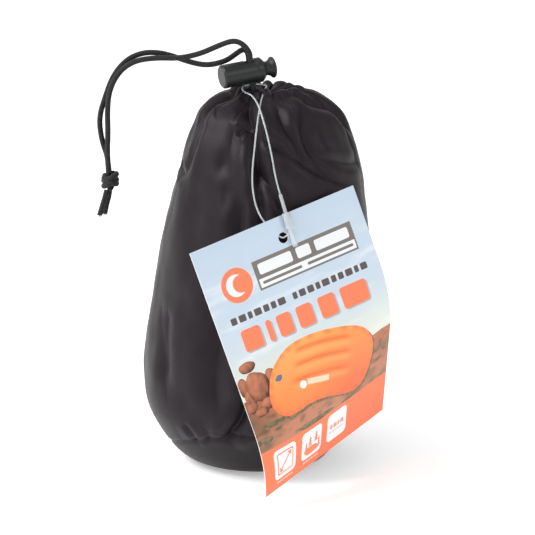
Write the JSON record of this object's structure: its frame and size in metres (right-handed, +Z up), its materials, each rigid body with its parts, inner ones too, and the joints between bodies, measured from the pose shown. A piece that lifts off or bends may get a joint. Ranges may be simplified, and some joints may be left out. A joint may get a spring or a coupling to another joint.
{
  "type": "camp pillow",
  "caption": "Inflatable camp pillow rolled up in its drawstring stuff sack, with a sprung cord lock, a knotted drawcord and a printed hang tag on a clear loop.",
  "frame": {"origin": "centre of the sack's flat base, on the surface it stands on", "axes": "+Z up the sack to its mouth; the hang tag is on the -Y side and the drawcord hangs to -X"},
  "size_m": [0.1372, 0.1431, 0.205],
  "materials": {
    "sack_cloth": "satin",
    "seam_tape": "matte",
    "drawcord": "matte",
    "lock_plastic": "satin",
    "spring_steel": "satin",
    "printed_card": "satin",
    "clear_nylon": "gloss",
    "pillow_cloth": "matte",
    "valve_plastic": "satin",
    "valve_silicone": "satin"
  },
  "bodies": {
    "sack": {"sack_body": "sack_cloth", "sack_base": "sack_cloth", "cord_channel": "sack_cloth", "base_seam_tape": "seam_tape", "side_seam_tape": "seam_tape", "drawcord_loop": "drawcord", "drawcord_front_tail": "drawcord", "drawcord_back_tail": "drawcord", "drawcord_knot": "drawcord", "cord_end_left": "drawcord", "cord_end_right": "drawcord", "pillow_bottom_panel": "pillow_cloth", "pillow_top_panel": "pillow_cloth", "pillow_baffles": "pillow_cloth", "valve_flange": "valve_plastic", "valve_body": "valve_plastic", "valve_flap": "valve_silicone"},
    "lock": {"lock_barrel": "lock_plastic", "lock_spring": "spring_steel"},
    "lock_button": {"lock_plunger": "lock_plastic"},
    "tag_loop": {"tag_loop_strand": "clear_nylon", "tag_loop_barb": "clear_nylon", "tag_loop_socket": "clear_nylon"},
    "card": {"tag_card": "printed_card"},
    "valve_lid": {"valve_cap": "valve_plastic"}
  },
  "joints": [
    {"name": "lock_slide", "type": "slide", "parent": "sack", "child": "lock", "axis": [-0.113, -0.0457, 0.9925], "range_m": [0, 0.002]},
    {"name": "lock_press", "type": "slide", "parent": "lock", "child": "lock_button", "axis": [-0.9203, -0.3718, -0.1219], "range_m": [0, 0.0018], "stiffness_N_per_m": 2000, "springref_m": -0.002, "deforming": ["lock_spring"]},
    {"name": "tag_swing", "type": "hinge", "parent": "sack", "child": "tag_loop", "pos_m": [-0.0055, -0.0076, 0.1804], "axis": [-0.9495, -0.3138, 0], "range_deg": [0, 20]},
    {"name": "card_turn", "type": "hinge", "parent": "tag_loop", "child": "card", "pos_m": [0.00818, -0.05522, 0.12067], "axis": [0.4537, -0.8533, 0.2571], "range_deg": [0, 25]},
    {"name": "valve_lid_hinge", "type": "hinge", "parent": "sack", "child": "valve_lid", "pos_m": [0.0116, 0, 0.1378], "axis": [0, 1, 0], "range_deg": [0, 110]}
  ]
}
